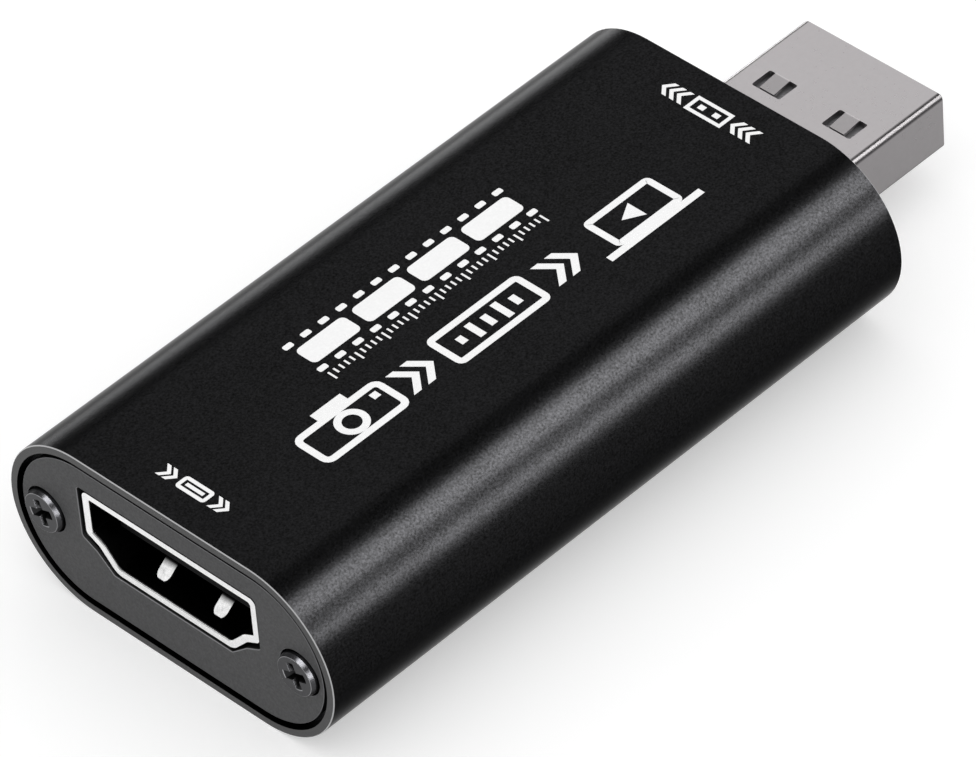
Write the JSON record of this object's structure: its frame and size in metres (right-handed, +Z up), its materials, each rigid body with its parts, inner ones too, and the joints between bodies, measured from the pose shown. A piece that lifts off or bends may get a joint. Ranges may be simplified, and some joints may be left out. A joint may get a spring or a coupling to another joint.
{
  "type": "video capture box",
  "caption": "Pocket video capture box: flat black metal tube with rounded sides, a video socket in one end plate and a flat computer plug in the other.",
  "frame": {"origin": "centre of the bounding box's bottom face: on the surface that the tube lies on, halfway between the screw heads at the socket end and the plug's tip", "axes": "+X from the socket end to the plug's tip, +Y across the tube, +Z up through the printed face"},
  "size_m": [0.0644, 0.028, 0.013],
  "materials": {
    "black_anodised_case": "bead-blasted and black anodised, satin",
    "end_plate_grey": "dark grey, matt",
    "screw_steel": "blackened steel, satin",
    "board_laminate": "green solder mask, semi-gloss",
    "socket_metal": "bright nickel-plated sheet",
    "socket_plastic": "black moulded plastic",
    "contact_gold": "gold-plated",
    "plug_metal": "satin nickel-plated sheet",
    "plug_plastic": "dark moulded plastic",
    "chip_resin": "black moulded resin",
    "tinned_leads": "tin-plated",
    "crystal_ceramic": "pale ceramic",
    "lid_metal": "plain plated metal",
    "ferrite": "dark grey ferrite",
    "capacitor_ceramic": "tan ceramic",
    "resistor_ceramic": "black glazed ceramic"
  },
  "bodies": {
    "root": {"outer_shell": "black_anodised_case", "input_end_plate": "end_plate_grey", "output_end_plate": "end_plate_grey", "input_plate_screws": "screw_steel", "output_plate_screws": "screw_steel", "circuit_board": "board_laminate", "socket_shell": "socket_metal", "socket_insulator": "socket_plastic", "socket_upper_contacts": "contact_gold", "socket_lower_contacts": "contact_gold", "plug_shell": "plug_metal", "plug_insulator": "plug_plastic", "plug_contacts": "contact_gold", "video_chip": "chip_resin", "video_chip_leads": "tinned_leads", "memory_chip": "chip_resin", "memory_chip_leads": "tinned_leads", "crystal_base": "crystal_ceramic", "crystal_lid": "lid_metal", "voltage_regulator": "chip_resin", "regulator_leads": "tinned_leads", "power_inductor": "ferrite", "inductor_terminals": "tinned_leads", "surge_guards": "chip_resin", "capacitors": "capacitor_ceramic", "resistors": "resistor_ceramic", "solder_caps": "tinned_leads"},
    "upper_spring_left": {"upper_spring_left": "socket_metal"},
    "upper_spring_right": {"upper_spring_right": "socket_metal"},
    "lower_spring_left": {"lower_spring_left": "socket_metal"},
    "lower_spring_right": {"lower_spring_right": "socket_metal"},
    "side_spring_left": {"side_spring_left": "socket_metal"},
    "side_spring_right": {"side_spring_right": "socket_metal"}
  },
  "joints": [
    {"name": "upper_spring_left_flex", "type": "hinge", "parent": "root", "child": "upper_spring_left", "pos_m": [-0.02561, 0.00247, 0.00983], "axis": [0, 1, 0], "range_deg": [0, 11.5], "stiffness_Nm_per_rad": 0.1},
    {"name": "upper_spring_right_flex", "type": "hinge", "parent": "root", "child": "upper_spring_right", "pos_m": [-0.02561, -0.00247, 0.00983], "axis": [0, 1, 0], "range_deg": [0, 11.5], "stiffness_Nm_per_rad": 0.1},
    {"name": "lower_spring_left_flex", "type": "hinge", "parent": "root", "child": "lower_spring_left", "pos_m": [-0.02561, 0.00247, 0.00498], "axis": [0, -1, 0], "range_deg": [0, 11.5], "stiffness_Nm_per_rad": 0.1},
    {"name": "lower_spring_right_flex", "type": "hinge", "parent": "root", "child": "lower_spring_right", "pos_m": [-0.02561, -0.00247, 0.00498], "axis": [0, -1, 0], "range_deg": [0, 11.5], "stiffness_Nm_per_rad": 0.1},
    {"name": "side_spring_left_flex", "type": "hinge", "parent": "root", "child": "side_spring_left", "pos_m": [-0.02561, 0.00715, 0.00825], "axis": [0, 0, -1], "range_deg": [0, 11.5], "stiffness_Nm_per_rad": 0.1},
    {"name": "side_spring_right_flex", "type": "hinge", "parent": "root", "child": "side_spring_right", "pos_m": [-0.02561, -0.00715, 0.00825], "axis": [0, 0, 1], "range_deg": [0, 11.5], "stiffness_Nm_per_rad": 0.1}
  ]
}
